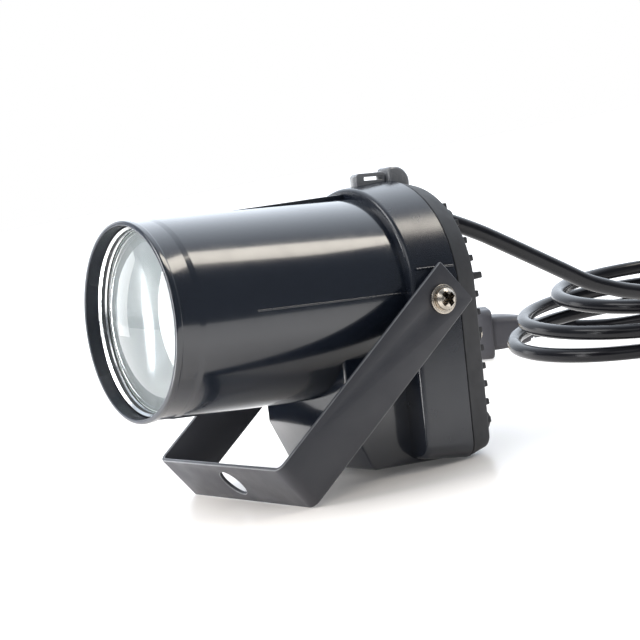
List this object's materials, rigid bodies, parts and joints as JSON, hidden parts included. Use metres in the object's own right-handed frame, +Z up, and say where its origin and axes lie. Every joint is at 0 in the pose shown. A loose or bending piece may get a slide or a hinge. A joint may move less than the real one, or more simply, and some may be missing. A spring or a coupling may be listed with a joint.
{
  "type": "mini led spotlight",
  "caption": "Small pin-spot lamp: lens barrel moulded in one with a rear housing, ribbed rear cover, sheet-steel tilting yoke, and a mains lead with its coil and plug.",
  "frame": {"origin": "bottom centre of the lamp's own box, its free lead, coil and plug left out, on the surface that it stands on", "axes": "+X across the lamp to its own left as seen from behind it, along the yoke's pivots; -Y the way the light leaves, nearly level; +Z up"},
  "size_m": [0.2444, 0.3943, 0.109],
  "materials": {
    "black_gloss_plastic": "glossy moulded black plastic",
    "dark_matt_plastic": "matt moulded dark grey plastic",
    "yoke_coat": "satin black powder coat on sheet steel",
    "lens_glass": "clear pressed glass",
    "clear_resin": "clear moulded acrylic",
    "gasket_rubber": "soft black rubber",
    "nickel_plate": "warm bright nickel plate on steel",
    "zinc_plate": "zinc plate on steel",
    "cast_sink": "plain cast aluminium",
    "white_board": "white lacquer on an aluminium-cored board",
    "phosphor": "ceramic body under a yellow phosphor dome",
    "green_board": "green lacquered board",
    "dark_core": "lacquered core and wound bobbin",
    "capacitor_sleeve": "shrunk plastic sleeve",
    "fuse_glass": "clear glass with bright end caps",
    "cord_pvc": "dark grey soft plastic",
    "white_lead": "white soft plastic",
    "brass_pin": "plain drawn brass"
  },
  "bodies": {
    "lamp": {"shell": "black_gloss_plastic", "retaining_ring": "black_gloss_plastic", "lens": "lens_glass", "lens_gasket": "gasket_rubber", "rear_cover": "dark_matt_plastic", "cover_screw_1": "nickel_plate", "cover_screw_2": "nickel_plate", "cover_screw_3": "nickel_plate", "cover_screw_4": "nickel_plate", "pivot_washer_right": "nickel_plate", "pivot_screw_right": "nickel_plate", "pivot_nut_right": "zinc_plate", "pivot_washer_left": "nickel_plate", "pivot_screw_left": "nickel_plate", "pivot_nut_left": "zinc_plate", "heat_sink": "cast_sink", "sink_screw_1": "zinc_plate", "sink_screw_2": "zinc_plate", "led_board": "white_board", "board_screw_1": "zinc_plate", "board_screw_2": "zinc_plate", "led_chip": "phosphor", "optic": "clear_resin", "optic_holder": "dark_matt_plastic", "driver_board": "green_board", "driver_screw_1": "zinc_plate", "driver_screw_2": "zinc_plate", "transformer": "dark_core", "capacitor": "capacitor_sleeve", "fuse": "fuse_glass", "strain_relief": "cord_pvc", "mains_lead_1": "cord_pvc", "mains_lead_2": "white_lead", "chip_lead_1": "cord_pvc", "chip_lead_2": "white_lead", "plug_body": "cord_pvc", "plug_blade_1": "brass_pin", "plug_blade_2": "brass_pin", "plug_earth_pin": "brass_pin", "cord": "cord_pvc", "cord_coil": "cord_pvc", "cord_tail": "cord_pvc"},
    "yoke": {"yoke": "yoke_coat"}
  },
  "joints": [
    {"name": "yoke_tilt", "type": "hinge", "parent": "lamp", "child": "yoke", "pos_m": [0, 0.03218, 0.05975], "axis": [1, 0, 0], "range_deg": [-12, 130]}
  ]
}
